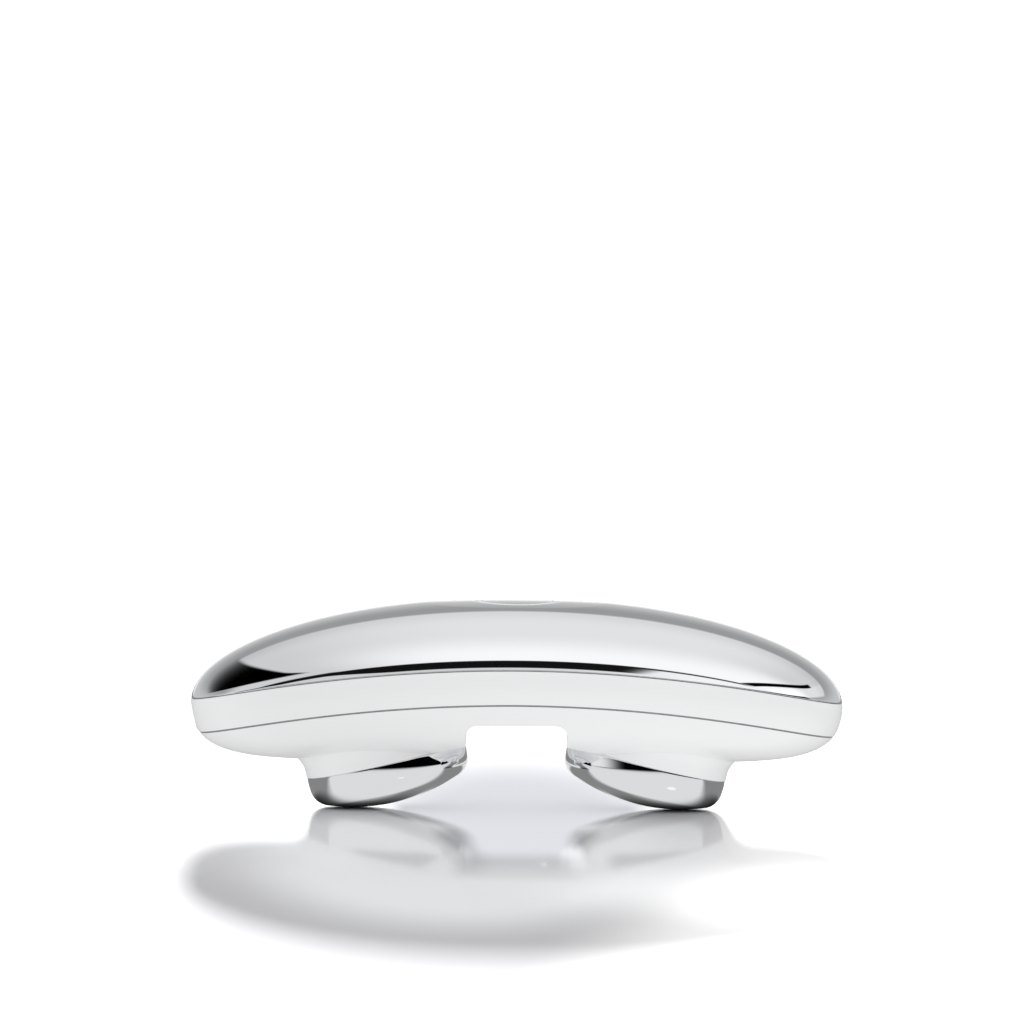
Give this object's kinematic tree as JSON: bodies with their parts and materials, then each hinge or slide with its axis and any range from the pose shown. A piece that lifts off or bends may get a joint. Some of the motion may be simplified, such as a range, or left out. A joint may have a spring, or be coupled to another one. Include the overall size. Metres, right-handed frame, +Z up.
{
  "type": "facial toning device",
  "caption": "Palm-held facial toning device: arched pebble body with a plated cover, white band and housing, tilted domed electrodes on pods and a press button.",
  "frame": {"origin": "centre of the bounding box's base, on the surface that the electrodes rest on", "axes": "+X along the length towards the end without the port, +Y to the back, +Z up"},
  "size_m": [0.1248, 0.0552, 0.0398],
  "materials": {
    "chrome_plate": "bright chrome plating on moulded plastic",
    "electrode_metal": "polished stainless electrode",
    "white_shell": "smooth gloss white",
    "seam_rubber": "grey sealing rubber",
    "light_guide": "milky light guide",
    "soft_pad": "clear silicone",
    "inner_frame": "fine matte moulding",
    "shroud_white": "white reflector moulding",
    "circuit_board": "green solder mask",
    "chip_black": "moulded black",
    "can_metal": "tinned shielding can",
    "screw_steel": "zinc-plated steel",
    "contact_brass": "gold-flashed spring strip",
    "battery_foil": "pouch foil",
    "foam_pad": "adhesive foam",
    "wire_red": "silicone insulation",
    "ribbon_amber": "polyimide film",
    "connector_white": "nylon",
    "led_yellow": "clear resin"
  },
  "bodies": {
    "device": {"top_cover": "chrome_plate", "cover_gasket": "seam_rubber", "mid_band": "white_shell", "housing_gasket": "seam_rubber", "bottom_housing": "white_shell", "electrode_left": "electrode_metal", "electrode_right": "electrode_metal", "electrode_seals": "seam_rubber", "electrode_washers": "screw_steel", "electrode_nuts": "contact_brass", "contact_spring_left": "contact_brass", "contact_spring_right": "contact_brass", "chassis": "inner_frame", "chassis_screws": "screw_steel", "battery_pad": "foam_pad", "battery_cell": "battery_foil", "battery_leads": "wire_red", "battery_plug": "connector_white", "battery_socket": "connector_white", "main_board": "circuit_board", "board_screws": "screw_steel", "controller_module": "can_metal", "charge_chip": "chip_black", "board_capacitors": "battery_foil", "pulse_transformer": "chip_black", "indicator_leds": "led_yellow", "switch_body": "chip_black", "light_shroud": "shroud_white", "light_ring": "light_guide", "button_return_pad": "soft_pad", "port_shell": "can_metal", "port_tongue": "chip_black", "port_gasket": "foam_pad", "port_board": "circuit_board", "port_screws": "screw_steel", "port_ribbon": "ribbon_amber", "ribbon_socket": "connector_white", "feedback_motor": "can_metal", "motor_pad": "foam_pad"},
    "button": {"power_button": "chrome_plate"},
    "plunger": {"switch_plunger": "connector_white"}
  },
  "joints": [
    {"name": "button_press", "type": "slide", "parent": "device", "child": "button", "axis": [0, 0, -1], "range_m": [0, 0.0004], "stiffness_N_per_m": 2500, "deforming": ["button_return_pad"]},
    {"name": "plunger_press", "type": "slide", "parent": "device", "child": "plunger", "axis": [0, 0, -1], "range_m": [0, 0.0004]}
  ],
  "couplings": [
    {"joint": "plunger_press", "follows": "button_press", "ratio": 1}
  ]
}
